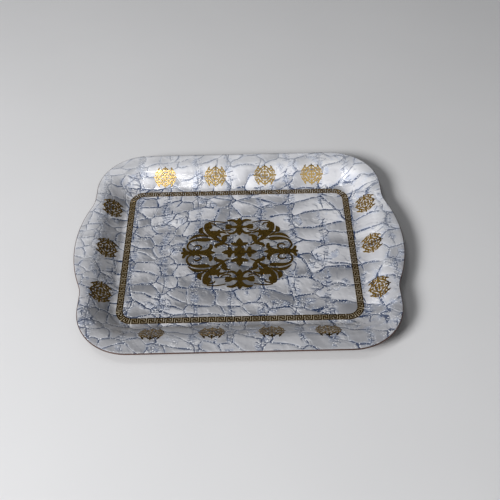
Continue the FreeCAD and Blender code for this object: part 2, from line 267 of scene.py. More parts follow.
def run_to_rim(centre, out, inset):
    """Run from the foot to the rim outline along each outward ray, by halving the stretch that holds it."""
    low = np.full(len(centre), WALL_RUN * 0.5)
    high = np.full(len(centre), WALL_RUN * 2.0)
    for _ in range(RIM_HALVINGS):
        middle = (low + high) / 2.0
        point = centre + out * (FLOOR_RADIUS + middle)[:, None]
        held = inside_rim(point[:, 0], point[:, 1], inset) > 0.0
        low = np.where(held, middle, low)
        high = np.where(held, high, middle)
    return low


def new_object(name, points, faces, material):
    """An object in the scene, made of faces between points in metres, with one material."""
    mesh = bpy.data.meshes.new(name)
    mesh.from_pydata(points, [], faces)
    mesh.materials.append(material)
    made = bpy.data.objects.new(name, mesh)
    bpy.context.scene.collection.objects.link(made)
    return made


def mesh_piece(name, points, faces, nodes, material, crease):
    """A piece from points in millimetres, riding on the root and standing for its CAD nodes. It is shaded
    smooth, but sharp at edges that turn by more than crease."""
    piece = new_object(name, (np.asarray(points) * MM).tolist(), faces, material)
    piece.data.shade_smooth()
    piece.data.set_sharp_from_angle(angle=math.radians(crease))
    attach(piece, "root")
    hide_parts(*nodes)


def quads(rows, columns, wrap_rows, wrap_columns, first=0):
    """Faces of a grid of points numbered row by row, closed in either direction if asked."""
    r = np.arange(rows if wrap_rows else rows - 1)[:, None]
    c = np.arange(columns if wrap_columns else columns - 1)[None, :]
    here, right = r * columns + c, r * columns + (c + 1) % columns
    up, up_right = here + columns, right + columns
    up, up_right = up % (rows * columns), up_right % (rows * columns)
    return (np.stack([here, right, up_right, up], -1).reshape(-1, 4) + first).tolist()


def turned_over(faces):
    """The same faces seen from their other side."""
    return [face[::-1] for face in faces]


def with_height(level, height):
    """Level points made points in space by a height for each, or one for all or for each column."""
    return np.concatenate([level, np.broadcast_to(height, level.shape[:-1])[..., None]], -1)


def shell(name, top_lift, low_lift, inset, edge, nodes, material):
    """A layer of the tray as one closed shell between two lifts.

    Rows run from the middle of the upper face, down the section and out to the rim, round the edge profile
    and back to the middle of the lower face. edge lists (run inward from the outline, lift) from above to
    below.
    """
    station = np.concatenate([i + np.arange(n) / n for i, n in enumerate(STATION_STEPS)])
    centre, out = walk(station)
    reach = run_to_rim(centre, out, inset)
    last = reach - edge[0][0]
    wall = np.concatenate([FOOT_RUN * BEND_SHARES[:-1], np.linspace(FOOT_RUN, RIM_RUN, SLOPE_STEPS)[:-1],
                           RIM_RUN + (WALL_RUN - RIM_RUN) * BEND_SHARES])
    runs = np.concatenate([np.broadcast_to(wall[:, None], (len(wall), len(reach))),
                           WALL_RUN + RIM_SHARES[:, None] * (last - WALL_RUN)])

    def face_rows(lift):
        """Points of one face, from the floor's middle to the start of the edge profile."""
        floor = (centre + out * FLOOR_RADIUS)[None] * FLOOR_SHARES[:, None, None]
        level, height = section(runs, lift)
        side = centre[None] + out[None] * (FLOOR_RADIUS + level)[..., None]
        return np.concatenate([with_height(floor, FACE_Z + lift), with_height(side, FACE_Z + height)])

    ring = [with_height(centre + out * (FLOOR_RADIUS + reach - inward)[:, None], FACE_Z + RIM_HEIGHT + lift)
            for inward, lift in edge]
    grid = np.concatenate([face_rows(top_lift), np.stack(ring), face_rows(low_lift)[::-1]])
    rows, columns = grid.shape[:2]
    points = grid.reshape(-1, 3)
    poles = np.array([[0.0, 0.0, FACE_Z + top_lift], [0.0, 0.0, FACE_Z + low_lift]])
    faces = turned_over(quads(rows, columns, False, True))
    here = np.arange(columns)
    right = (here + 1) % columns
    top, low = len(points), len(points) + 1
    faces += np.stack([np.full(columns, top), here, right], -1).tolist()
    start = (rows - 1) * columns
    faces += np.stack([np.full(columns, low), start + right, start + here], -1).tolist()
    mesh_piece(name, np.concatenate([points, poles]), faces, nodes, material, SHELL_CREASE)


def curve_through(values, steps):
    """Smooth line through the given rows: a cubic between each pair whose slope at a row is half the step
    from the row before to the row after."""
    v = np.asarray(values, float)
    slope = np.gradient(v, axis=0)
    t = (np.arange(steps) / steps)[None, :, None]
    a, b, da, db = v[:-1, None], v[1:, None], slope[:-1, None], slope[1:, None]
    line = (a * (1 + 2 * t) * (1 - t) ** 2 + b * t ** 2 * (3 - 2 * t)
            + da * t * (1 - t) ** 2 - db * t ** 2 * (1 - t))
    return np.concatenate([line.reshape(-1, v.shape[1]), v[-1:]])


def stroke(points, widths, steps, spread):
    """A flat brush stroke as a grid of (x, y, share of the thickness).

    The middle line runs smoothly through the points, the half width changes as smoothly, and each end is a
    half round: past the end the half width is the end width times the cosine of a turn, at the sine of it.
    """
    line = curve_through(np.column_stack([points, widths]), steps)
    middle, half = line[:, :2], np.maximum(line[:, 2], LEAST_HALF_WIDTH) + spread
    along = np.gradient(middle, axis=0)
    along /= np.linalg.norm(along, axis=1)[:, None]
    start = middle[0] - along[0] * (half[0] * np.sin(CAP_TURNS))[:, None]
    finish = middle[-1] + along[-1] * (half[-1] * np.sin(CAP_TURNS))[::-1, None]
    middle = np.concatenate([start, middle, finish])
    half = np.concatenate([half[0] * np.cos(CAP_TURNS), half, (half[-1] * np.cos(CAP_TURNS))[::-1]])
    along = np.pad(along, ((len(CAP_TURNS), len(CAP_TURNS)), (0, 0)), mode="edge")
    across = np.stack([-along[:, 1], along[:, 0]], -1)
    spots = middle[:, None] + across[:, None] * (half[:, None] * STROKE_ACROSS)[..., None]
    return with_height(spots, STROKE_RISE)


def mirrored(strokes, steps, spread):
    """Every stroke of a quarter in all its mirrors, as (grid, turned over). One that lies on an axis is
    mirrored only across the other."""
    made = []
    for points, widths in strokes:
        grid = stroke(points, widths, steps, spread)
        on_x = all(y == 0 for _, y in points)
        on_y = all(x == 0 for x, _ in points)
        for sx in ((1,) if on_y else (1, -1)):
            for sy in ((1,) if on_x else (1, -1)):
                made.append((grid * np.array([sx, sy, 1.0]), sx * sy < 0))
    return made


def relief(name, strokes, place, node, material):
    """Strokes joined into one thin relief, each a tube with two flat ends. place turns (x, y, share of the
    thickness) into millimetres, and crossing strokes lie at slightly different levels."""
    points, faces, count = [], [], 0
    for index, (grid, turned) in enumerate(strokes):
        rows, columns = grid.shape[:2]
        level = 1.0 - LEVEL_STEP * (index % LEVELS)
        points.append(place(grid.reshape(-1, 3) * np.array([1.0, 1.0, level])))
        own = quads(rows, columns, False, True, count)
        last = count + (rows - 1) * columns
        own.append(list(range(count, count + columns))[::-1])
        own.append(list(range(last, last + columns)))
        faces += own if turned else turned_over(own)
        count += rows * columns
    mesh_piece(name, np.concatenate(points), faces, [node], material, TRANSFER_CREASE)


def key_band(material):
    """The running key round the floor: one line of even width, turning at lattice points, closed on itself.

    A unit's columns are quarters of its length along the band and its rows stand square to it. The line is
    carried round as a low profile, and at each turn its sides meet on the mitre.
    """
    turns = np.array(KEY_TURNS + ((KEY_COLUMNS, 0),), float)
    legs = []
    for a, b in zip(turns[:-1], turns[1:]):
        count = int(abs(b - a).max())
        legs.append(a + (b - a) * (np.arange(count) / count)[:, None])
    unit = np.concatenate(legs)
    spans = [KEY_END_UNITS / 2, KEY_CORNER_UNITS, KEY_SIDE_UNITS, KEY_CORNER_UNITS, KEY_END_UNITS,
             KEY_CORNER_UNITS, KEY_SIDE_UNITS, KEY_CORNER_UNITS, KEY_END_UNITS / 2]
    marks = np.concatenate([[0.0], np.cumsum(spans)])
    total = int(round(marks[-1]))
    places = (np.arange(total)[:, None] + unit[None, :, 0] / KEY_COLUMNS - 0.5 + KEY_SHIFT).ravel() % total
    offset = np.tile(KEY_MIDDLE_ROW - unit[:, 1], total) * KEY_ROW
    centre, out = walk(np.interp(places, marks, np.arange(len(marks))))
    line = centre + out * (KEY_MIDDLE + offset)[:, None]
    ahead = np.roll(line, -1, 0) - line
    ahead /= np.linalg.norm(ahead, axis=1)[:, None]
    side = np.stack([-ahead[:, 1], ahead[:, 0]], -1)
    before = np.roll(side, 1, 0)
    mitre = (side + before) / (1.0 + (side * before).sum(1))[:, None]
    across = np.array([-1.0, -1.0, 1.0, 1.0]) * KEY_LINE / 2.0
    rise = np.array([0.0, 1.0, 1.0, 0.0]) * TRANSFER_THICKNESS
    grid = with_height(line[:, None] + mitre[:, None] * across[:, None], FACE_Z + rise)
    rows, columns = grid.shape[:2]
    faces = turned_over(quads(rows, columns, True, True))
    mesh_piece("key_line", grid.reshape(-1, 3), faces, ["key_border"], material,
               TRANSFER_CREASE)


def on_floor(p):
    """Place for the centre ornament: flat on the decor, about its own middle."""
    return np.column_stack([p[:, 0], p[:, 1] + ORNAMENT_SHIFT, FACE_Z + p[:, 2] * TRANSFER_THICKNESS])


def on_wall(side, centre_run, along):
    """Place for a medallion: x goes along the side, and y is a length laid up the wall's section."""
    runs = np.linspace(0.0, WALL_RUN + RIM_REACH, WALL_STEPS)
    _, heights = section(runs, 0.0)
    lengths = np.concatenate([[0.0], np.cumsum(np.hypot(np.diff(runs), np.diff(heights)))])
    middle = np.interp(centre_run, runs, lengths)
    out = SIDE_OUT[side]
    half = CORNER_Y if side in ("back", "front") else CORNER_X

    def place(p):
        """A stroke's points laid on the wall."""
        run = np.interp(middle + p[:, 1], lengths, runs)
        level, height = section(run, p[:, 2] * TRANSFER_THICKNESS)
        away = half + FLOOR_RADIUS + level
        spread = along + p[:, 0] * (out[1] - out[0])
        return np.column_stack([out[0] * away + abs(out[1]) * spread,
                                out[1] * away + abs(out[0]) * spread, FACE_Z + height])
    return place


# Materials ------------------------------------------------------------------------------------------------

# The crackled pearl: lengths in millimetres
BLOCK = (31.0, 19.5)       # usual size of a crackled block
BLOCK_STRAY = 0.8          # how far the blocks' middles stray, as a share of that
CHIP = (13.0, 8.0)         # usual size of a chip in a broken patch
CHIP_STRAY = 0.95
GROWTH = -0.0017           # shrinks places by this share for each millimetre, so blocks grow to the right
BENDS = (                  # noises that push the folds about, and how far
    ("wander", (46.0, 30.0, 0.0)),
    ("bend", (15.0, 10.0, 0.0)),
    ("tremble", (0.5, 0.4, 0.0)),
)
UPRIGHT = 40.0             # between the bundles of upright folds
UPRIGHT_SWAY = 26.0        # how far a bundle strays to the side
GATHER = 4.6               # between the short gathers that cross them
GATHER_SWAY = 2.6
RIPPLE_TURN = 78.0         # radians of ripple across a block
RIPPLE_SWAY = 0.06
LEAN_LIFT = (0.0, 0.0, 0.3)    # share of a block's tone that is the same all over it
CRACK_LEVEL = (1.1, 0.55)  # a crack's width: more of it where it runs level, and the least
CRACK_CHANGE = (2.0, 0.1)  # and how it changes with a noise
DEPTHS = {"crack": 0.30, "groove": 0.34, "upright": 0.3, "gather": 0.18, "ripple": 0.11, "chip": 0.4,
          "swell": 0.8}
SHADE_STEP = (0.5, 0.6, 0.0)   # between the two places whose heights shade the relief

# How the pearl's tone changes over the tray, with painted light and a painted sheen
CLOUD_TONE = 0.5           # how strongly the cloud lightens and darkens the blocks
HALO_SHARE = 0.52          # how blue it gets beside the folds
UP_THE_WALL = {"tone": -0.5, "lit": -0.45, "line": -0.12}  # change from the foot of the wall to its top
PAINTED_LIGHT_SLOPE = (0.45, 1.80, 0.0)  # painted light: share by which the pearl is made lighter for each metre to the right and to the back
PAINTED_LIGHT_WALL = (0.12, 1.16)  # more painted light at the top of the wall, and its level in the middle of the floor
OVAL = (13.9, 17.5, 0.0)   # one over the half sizes, in metres, of the darker oval behind the ornament
OVAL_SHIFT = (0.0, 0.026, 0.0)     # its middle is this many half sizes in front of the floor's
RIM_SHEEN = (1.2, 0.14)     # painted sheen on the rim: its share, more for each metre to the back, and halfway

# Foil
FOIL_LINE_SHARE = 0.5      # how strongly the crackle's lines show through
FOIL_KEY_SHADE = -0.30    # painted shade: the foil is darker in the key, for the dark surroundings it mirrors on the floor

# Bumps: strength, and depth in metres
PEARL_BUMP = (0.3, 0.001)
FOIL_BUMP = (0.05, 0.001)
LAMINATE_BUMP = (0.2, 0.0003)

PEARL_METAL = 0.1
COAT_ROUGHNESS = 0.07
FLOOR_ROUGHNESS = 0.9

# Noises: scale for each millimetre, or each metre on the laminate and the floor, then detail and roughness
NOISES = {
    "wander": (0.014, 1.0, 0.55),
    "bend": (0.045, 1.0, 0.55),
    "tremble": (0.2, 1.0, 0.55),
    "sway": (0.025, 2.0, 0.5),
    "gathered": (0.05, 2.0, 0.6),
    "broken": (0.03, 1.0, 0.5),
    "held": (0.07, 1.0, 0.5),
    "held_upright": (0.06, 1.0, 0.5),
    "quick": (0.25, 1.0, 0.5),
    "width": (0.08, 1.0, 0.5),
    "swell": (0.09, 3.0, 0.5),
    "cloud": (0.03, 3.0, 0.55),
    "patchy": (0.09, 3.0, 0.5),
    "fleck_and_glint": (0.55, 1.0, 0.5),
    "mottle": (0.5, 3.0, 0.6),
    "laminate_cloud": (25.0, 4.0, 0.55),
    "laminate_fleck": (900.0, 2.0, 0.7),
    "floor": (6.0, 3.0, 0.5),
}

# Smooth steps: where each starts and ends, and what it is worth there. Gaps to the edges of blocks and chips
# are shares of their size, gaps to other folds are in millimetres, and places on the tray are in metres.
STEPS = {
    # which parts of the crackle are there
    "broken": (0.585, 0.64, 0.0, 1.0),
    "held": (0.33, 0.46, 0.12, 1.0),
    "held_upright": (0.40, 0.56, 0.0, 1.0),
    "bundle": (1.0, 9.0, 1.0, 0.0),
    "gathered": (0.40, 0.52, 0.0, 1.0),
    "beside": (0.02, 0.2, 1.0, 0.0),
    "rippled": (0.46, 0.60, 1.0, 0.0),
    # its relief, from the middle of each fold
    "lean": (0.0, 0.10, 0.5, 1.0),
    "crack": (0.0, 0.05, 0.0, 1.0),
    "groove": (0.0, 0.20, 0.0, 1.0),
    "upright": (0.0, 2.0, 0.0, 1.0),
    "chip": (0.0, 0.2, 0.0, 1.0),
    # its lines and the blue beside them
    "line": (0.021, 0.033, 1.0, 0.0),
    "line_upright": (0.35, 0.75, 1.0, 0.0),
    "line_gather": (0.3, 0.75, 0.9, 0.0),
    "line_bundle": (0.3, 0.7, 0.0, 1.0),
    "line_chip": (0.02, 0.06, 0.9, 0.0),
    "halo": (0.0, 0.16, 1.0, 0.0),
    # tones of the pearl, with its painted light, painted sheen and painted glints
    "climb": ((FACE_Z + 0.1) * MM, (FACE_Z + 8.0) * MM, 0.0, 1.0),
    "tone": (-0.35, 0.35, 0.0, 1.0),
    "patchy": (0.38, 0.62, 0.0, 1.0),
    "shaded": (0.0, -0.30, 0.0, 1.0),
    "lit": (0.0, 0.42, 0.0, 1.0),
    "oval": (0.92, 1.02, 0.48, 1.0),
    "rim": ((FACE_Z + 12.5) * MM, (FACE_Z + 16.5) * MM, 0.0, 1.0),
    # painted glints
    "fleck_and_glint": (0.60, 0.65, 0.0, 1.0),
    "key_band": (3.7, 4.2, 1.0, 0.0),            # millimetres from the band's middle line
    "key_warmth": (0.085, 0.105, 0.62, 0.30),
    "pearl_rough": (0.3, 0.7, 0.42, 0.30),
    # the foil: painted shade on the front row of medallions and a painted sheen on the back row
    "mottle": (0.35, 0.65, 0.0, 1.0),
    "front_row_shade": (-0.13, -0.11, 0.42, 1.0),
    "back_row_sheen": (0.108, 0.114, 0.0, 0.55),
    "foil_rough": (0.3, 0.7, 0.13, 0.19),
    # the laminate
    "laminate_cloud": (0.3, 0.7, 0.0, 1.0),
    "laminate_fleck": (0.52, 0.72, 0.0, 0.5),
    "laminate_rough": (0.3, 0.7, 0.42, 0.58),
}

# Colours
PEARL_DEEP = (0.235, 0.238, 0.258, 1)
PEARL_PALE = (0.69, 0.69, 0.72, 1)
PEARL_BLUE = (0.25, 0.315, 0.47, 1)
PEARL_SHADED = (0.115, 0.137, 0.19, 1)
PEARL_LIT = (0.86, 0.87, 0.90, 1)
PEARL_LINE = (0.018, 0.038, 0.098, 1)
# painted sheen on the rim
PEARL_SHEEN = (0.88, 0.89, 0.91, 1)
PEARL_LIMIT = (0.90, 0.90, 0.92)
# painted glints on the pearl
PEARL_GLINT = (0.92, 0.93, 0.95, 1)
PEARL_WARM = (0.33, 0.25, 0.105, 1)
FOIL_DEEP = (0.47, 0.28, 0.055, 1)
FOIL_BRIGHT = (0.57, 0.35, 0.075, 1)
FOIL_LINE = (0.16, 0.09, 0.04, 1)
# painted sheen of the back row of medallions
FOIL_SHEEN = (0.61, 0.46, 0.215, 1)
LAMINATE_DEEP = (0.045, 0.020, 0.014, 1)
LAMINATE_RED = (0.085, 0.038, 0.026, 1)
LAMINATE_FLECK = (0.14, 0.075, 0.05, 1)
FLOOR_GREY = (0.70, 0.70, 0.71, 1)
FLOOR_PALE = (0.74, 0.74, 0.75, 1)
BACKDROP_COLOUR = (0.95, 0.96, 1.0, 1)
BACKDROP_GLOW = 0.4


def add(tree, kind, inputs=None, **settings):
    """A node with its settings and inputs; an input that is a socket is linked."""
    made = tree.nodes.new(kind)
    for key, value in settings.items():
        setattr(made, key, value)
    for key, value in (inputs or {}).items():
        if isinstance(value, bpy.types.NodeSocket):
            tree.links.new(value, made.inputs[key])
        else:
            made.inputs[key].default_value = value
    return made


def maths(tree, operation, a, b=0.0, c=0.0):
    """The result of one operation on up to three values."""
    return add(tree, "ShaderNodeMath", {0: a, 1: b, 2: c}, operation=operation).outputs[0]


def product(tree, first, *others):
    """All the values multiplied."""
    for other in others:
        first = maths(tree, "MULTIPLY", first, other)
    return first


def greatest(tree, first, *others):
    """The greatest of the values."""
    for other in others:
        first = maths(tree, "MAXIMUM", first, other)
    return first


def vectors(tree, operation, a, b=(0.0, 0.0, 0.0), c=(0.0, 0.0, 0.0), scale=1.0, out="Vector"):
    """The result of one operation on up to three places or colours. out is Value where that is a number."""
    return add(tree, "ShaderNodeVectorMath", {0: a, 1: b, 2: c, 3: scale}, operation=operation).outputs[out]


def axes(tree, where):
    """The x, y and z of a place."""
    return add(tree, "ShaderNodeSeparateXYZ", {0: where}).outputs


def step(tree, value, name):
    """The named smooth step of a value."""
    low, high, first, last = STEPS[name]
    made = add(tree, "ShaderNodeMapRange", {"Value": value, "From Min": low, "From Max": high,
                                            "To Min": first, "To Max": last})
    made.interpolation_type = "SMOOTHSTEP"
    return made.outputs[0]


def noise(tree, where, name, out="Fac"):
    """The named noise at a place."""
    scale, detail, rough = NOISES[name]
    return add(tree, "ShaderNodeTexNoise", {"Vector": where, "Scale": scale, "Detail": detail,
                                            "Roughness": rough}).outputs[out]


def blend(tree, share, a, b):
    """Colour a with a share of colour b over it."""
    return add(tree, "ShaderNodeMix", {0: share, 6: a, 7: b}, data_type="RGBA").outputs[2]


def blank_material(name):
    """A material and its empty tree of nodes."""
    made = bpy.data.materials.new(name)
    made.use_nodes = True
    made.node_tree.nodes.clear()
    return made, made.node_tree


def new_material(name):
    """A material with its tree, its surface shader and the place on the piece."""
    made, tree = blank_material(name)
    shader = add(tree, "ShaderNodeBsdfPrincipled")
    add(tree, "ShaderNodeOutputMaterial", {"Surface": shader.outputs[0]})
    return made, tree, shader, add(tree, "ShaderNodeTexCoord").outputs["Object"]


def dress(tree, shader, colour, rough, height, strength, depth):
    """Give a surface its colour and roughness, and bumps from a height."""
    bump = add(tree, "ShaderNodeBump", {"Strength": strength, "Distance": depth, "Height": height})
    for socket, source in (("Base Color", colour), ("Roughness", rough), ("Normal", bump.outputs[0])):
        tree.links.new(source, shader.inputs[socket])


def bent_flat(tree, flat):
    """Level place pushed about by three noises, so that straight folds wander and tremble a little, and
    shrunk towards the right, so that the blocks are larger there."""
    bent = flat
    for name, reach in BENDS:
        push = vectors(tree, "SUBTRACT", noise(tree, flat, name, "Color"), (0.5, 0.5, 0.0))
        bent = vectors(tree, "MULTIPLY_ADD", push, reach, bent)
    growth = maths(tree, "MULTIPLY_ADD", axes(tree, flat)[0], GROWTH, 1.0)
    return vectors(tree, "SCALE", bent, scale=growth)


def creases(tree, value, pitch):
    """Gap in millimetres from a value to the nearest whole multiple of a pitch."""
    share = maths(tree, "DIVIDE", value, pitch)
    gap = maths(tree, "ABSOLUTE", maths(tree, "SUBTRACT", share, maths(tree, "ROUND", share)))
    return maths(tree, "MULTIPLY", gap, pitch)


def cells(tree, bent, size, feature, stray):
    """Voronoi cells of a size in millimetres, with their scaled place."""
    scaled = vectors(tree, "MULTIPLY", bent, (1.0 / size[0], 1.0 / size[1], 0.0))
    made = add(tree, "ShaderNodeTexVoronoi", {"Vector": scaled, "Scale": 1.0, "Randomness": stray},
               voronoi_dimensions="2D", feature=feature)
    return made.outputs, scaled


def folds(tree, flat):
    """The crumpled pearl foil: its relief in millimetres and what draws its lines and tones.

    Each block leans its own way and is edged by a groove whose line comes and goes, with ripples beside it
    in places. Bundles of upright folds carry short gathers, and some patches are broken into chips.
    """
    bent = bent_flat(tree, flat)
    quick = noise(tree, flat, "quick")

    # Where the folds run: gaps to the edge of a block or chip as shares of it, the others in millimetres
    edge = cells(tree, bent, BLOCK, "DISTANCE_TO_EDGE", BLOCK_STRAY)[0]["Distance"]
    chip = cells(tree, bent, CHIP, "DISTANCE_TO_EDGE", CHIP_STRAY)[0]["Distance"]
    sway = maths(tree, "MULTIPLY_ADD", noise(tree, flat, "sway"), UPRIGHT_SWAY, axes(tree, flat)[0])
    upright = creases(tree, sway, UPRIGHT)
    gathered = maths(tree, "MULTIPLY_ADD", quick, GATHER_SWAY, axes(tree, bent)[1])

    # Where they are there
    mask = noise(tree, flat, "gathered")
    broken = step(tree, noise(tree, flat, "broken"), "broken")
    held = step(tree, noise(tree, flat, "held"), "held")
    held_upright = step(tree, noise(tree, flat, "held_upright"), "held_upright")
    bundle = product(tree, step(tree, upright, "bundle"), step(tree, mask, "gathered"))
    beside = product(tree, step(tree, edge, "beside"), step(tree, mask, "rippled"))
    gather = maths(tree, "SINE", product(tree, gathered, math.tau / GATHER))
    gather = product(tree, gather, bundle)
    ripple = product(tree, maths(tree, "MULTIPLY_ADD", quick, RIPPLE_SWAY, edge), RIPPLE_TURN)
    ripple = product(tree, maths(tree, "SINE", ripple), beside)

    # How each block leans
    block, block_at = cells(tree, bent, BLOCK, "F1", BLOCK_STRAY)
    away = vectors(tree, "SUBTRACT", block_at, block["Position"])
    lean = vectors(tree, "SUBTRACT", block["Color"], (0.5, 0.5, 0.5))
    raised = vectors(tree, "MULTIPLY_ADD", away, (1.0, 1.0, 0.0), LEAN_LIFT)
    tone = product(tree, vectors(tree, "DOT_PRODUCT", raised, lean, out="Value"), step(tree, edge, "lean"))

    # Width of the cracks
    sizes = axes(tree, vectors(tree, "ABSOLUTE", away))
    level = maths(tree, "DIVIDE", sizes[1], maths(tree, "ADD", sizes[0], sizes[1]))
    thin = maths(tree, "DIVIDE", edge, maths(tree, "MULTIPLY_ADD", level, *CRACK_LEVEL))
    change = maths(tree, "MULTIPLY_ADD", noise(tree, flat, "width"), *CRACK_CHANGE)
    thin = maths(tree, "DIVIDE", thin, change)

    height = product(tree, step(tree, thin, "crack"), DEPTHS["crack"])
    for share, depth in (
            (step(tree, edge, "groove"), product(tree, held, DEPTHS["groove"])),
            (step(tree, upright, "upright"), product(tree, held_upright, DEPTHS["upright"])),
            (gather, DEPTHS["gather"]),
            (ripple, DEPTHS["ripple"]),
            (step(tree, chip, "chip"), product(tree, broken, DEPTHS["chip"])),
            (noise(tree, bent, "swell"), DEPTHS["swell"])):
        height = maths(tree, "MULTIPLY_ADD", share, depth, height)

    across = step(tree, creases(tree, gathered, GATHER), "line_gather")
    line = greatest(tree, product(tree, step(tree, thin, "line"), held),
                    product(tree, step(tree, upright, "line_upright"), held_upright),
                    product(tree, across, step(tree, bundle, "line_bundle")),
                    product(tree, step(tree, chip, "line_chip"), broken))
    halo = greatest(tree, bundle, broken, product(tree, step(tree, edge, "halo"), held))
    return {"height": height, "line": line, "tone": tone, "halo": halo}


def crackle(tree, where):
    """The crackled pearl print, its relief lit from one side: lit is the rise to a place a step away."""
    flat = vectors(tree, "MULTIPLY", where, (1.0 / MM, 1.0 / MM, 0.0))
    here = folds(tree, flat)
    there = folds(tree, vectors(tree, "ADD", flat, SHADE_STEP))
    return dict(here, flat=flat, lit=maths(tree, "SUBTRACT", there["height"], here["height"]))


def key_ground(tree, flat):
    """1 on the band that the key runs along and 0 beside it: the gap from the corner centres' rectangle,
    less the radius of the band's middle line, is under half the band's width."""
    outside = vectors(tree, "SUBTRACT", vectors(tree, "ABSOLUTE", flat), (CORNER_X, CORNER_Y, 0.0))
    outside = vectors(tree, "MAXIMUM", outside)
    gap = maths(tree, "SUBTRACT", vectors(tree, "LENGTH", outside, out="Value"), KEY_MIDDLE)
    return step(tree, maths(tree, "ABSOLUTE", gap), "key_band")


def pearl_decor():
    """Crackled pearl under clear gloss: leaning grey blocks, blue beside the folds, dark lines and white
    flecks painted as glints.

    Painted light makes the pearl lighter up the wall, to the right and to the back, and a painted sheen
    makes it palest on the rim. It is darker in an oval behind the ornament and warmer under the key.
    """
    made, tree, shader, where = new_material("pearl_decor")
    pattern = crackle(tree, where)
    place = axes(tree, where)
    climb = step(tree, place[2], "climb")
    wall = {name: maths(tree, "MULTIPLY_ADD", climb, change, 1.0) for name, change in UP_THE_WALL.items()}
    cloud = noise(tree, pattern["flat"], "cloud")

    # Blocks, folds and lines
    tone = maths(tree, "MULTIPLY_ADD", maths(tree, "SUBTRACT", cloud, 0.5), CLOUD_TONE, pattern["tone"])
    base = blend(tree, step(tree, product(tree, tone, wall["tone"]), "tone"), PEARL_DEEP, PEARL_PALE)
    patchy = step(tree, noise(tree, pattern["flat"], "patchy"), "patchy")
    base = blend(tree, product(tree, pattern["halo"], patchy, HALO_SHARE), base, PEARL_BLUE)
    base = blend(tree, product(tree, step(tree, pattern["lit"], "shaded"), wall["lit"]), base, PEARL_SHADED)
    base = blend(tree, product(tree, step(tree, pattern["lit"], "lit"), wall["lit"]), base, PEARL_LIT)
    base = blend(tree, product(tree, pattern["line"], wall["line"]), base, PEARL_LINE)

    # Painted light: lighter to the right, to the back and up the wall; darker in an oval behind the ornament
    painted_light = maths(tree, "ADD", vectors(tree, "DOT_PRODUCT", where, PAINTED_LIGHT_SLOPE, out="Value"),
                  maths(tree, "MULTIPLY_ADD", climb, *PAINTED_LIGHT_WALL))
    oval = vectors(tree, "LENGTH", vectors(tree, "MULTIPLY_ADD", where, OVAL, OVAL_SHIFT), out="Value")
    base = vectors(tree, "SCALE", base, scale=product(tree, painted_light, step(tree, oval, "oval")))
    # Painted sheen: a pale wash on the rim that grows towards the back, where the light falls
    painted_sheen = product(tree, step(tree, place[2], "rim"), maths(tree, "MULTIPLY_ADD", place[1], *RIM_SHEEN))
    base = vectors(tree, "MINIMUM", blend(tree, painted_sheen, base, PEARL_SHEEN), PEARL_LIMIT)
    # Painted glints: white flecks beside the folds
    fleck_and_glint = product(tree, step(tree, noise(tree, pattern["flat"], "fleck_and_glint"), "fleck_and_glint"), pattern["halo"])
    base = blend(tree, fleck_and_glint, base, PEARL_GLINT)
    warmth = product(tree, key_ground(tree, pattern["flat"]), step(tree, place[1], "key_warmth"))
    base = blend(tree, warmth, base, PEARL_WARM)

    dress(tree, shader, base, step(tree, cloud, "pearl_rough"), pattern["height"], *PEARL_BUMP)
    shader.inputs["Metallic"].default_value = PEARL_METAL
    shader.inputs["Coat Weight"].default_value = 1.0
    shader.inputs["Coat Roughness"].default_value = COAT_ROUGHNESS
    return made


def gold_transfer():
    """Hot-pressed gold foil on the crackled decor, with its lines showing faintly through. Painted shade
    makes it darker in the key and the front row of medallions, and a painted sheen makes it lighter in the
    back row."""
    made, tree, shader, where = new_material("gold_transfer")
    pattern = crackle(tree, where)
    mottle = noise(tree, pattern["flat"], "mottle")
    base = blend(tree, step(tree, mottle, "mottle"), FOIL_DEEP, FOIL_BRIGHT)
    base = blend(tree, product(tree, pattern["line"], FOIL_LINE_SHARE), base, FOIL_LINE)
    to_back = axes(tree, where)[1]
    # Painted shade: darker foil in the key
    key_shade = maths(tree, "MULTIPLY_ADD", key_ground(tree, pattern["flat"]), FOIL_KEY_SHADE, 1.0)
    # Painted shade: darker foil on the front row of medallions
    base = vectors(tree, "SCALE", base, scale=product(tree, step(tree, to_back, "front_row_shade"), key_shade))
    # Painted sheen: lighter, yellower foil on the back row, as lit by the lamps above
    base = blend(tree, step(tree, to_back, "back_row_sheen"), base, FOIL_SHEEN)
    dress(tree, shader, base, step(tree, mottle, "foil_rough"), pattern["height"], *FOIL_BUMP)
    shader.inputs["Metallic"].default_value = 1.0
    return made


def core_laminate():
    """Red-brown pressed laminate: fine flecks, faint cloud, satin."""
    made, tree, shader, where = new_material("core_laminate")
    cloud = noise(tree, where, "laminate_cloud")
    fleck_and_glint = noise(tree, where, "laminate_fleck")
    base = blend(tree, step(tree, cloud, "laminate_cloud"), LAMINATE_DEEP, LAMINATE_RED)
    base = blend(tree, step(tree, fleck_and_glint, "laminate_fleck"), base, LAMINATE_FLECK)
    dress(tree, shader, base, step(tree, fleck_and_glint, "laminate_rough"), fleck_and_glint, *LAMINATE_BUMP)
    return made


def pale_floor():
    """Matt pale grey with a faint cloud."""
    made, tree, shader, where = new_material("floor_pale")
    base = blend(tree, noise(tree, where, "floor"), FLOOR_GREY, FLOOR_PALE)
    tree.links.new(base, shader.inputs["Base Color"])
    shader.inputs["Roughness"].default_value = FLOOR_ROUGHNESS
    return made


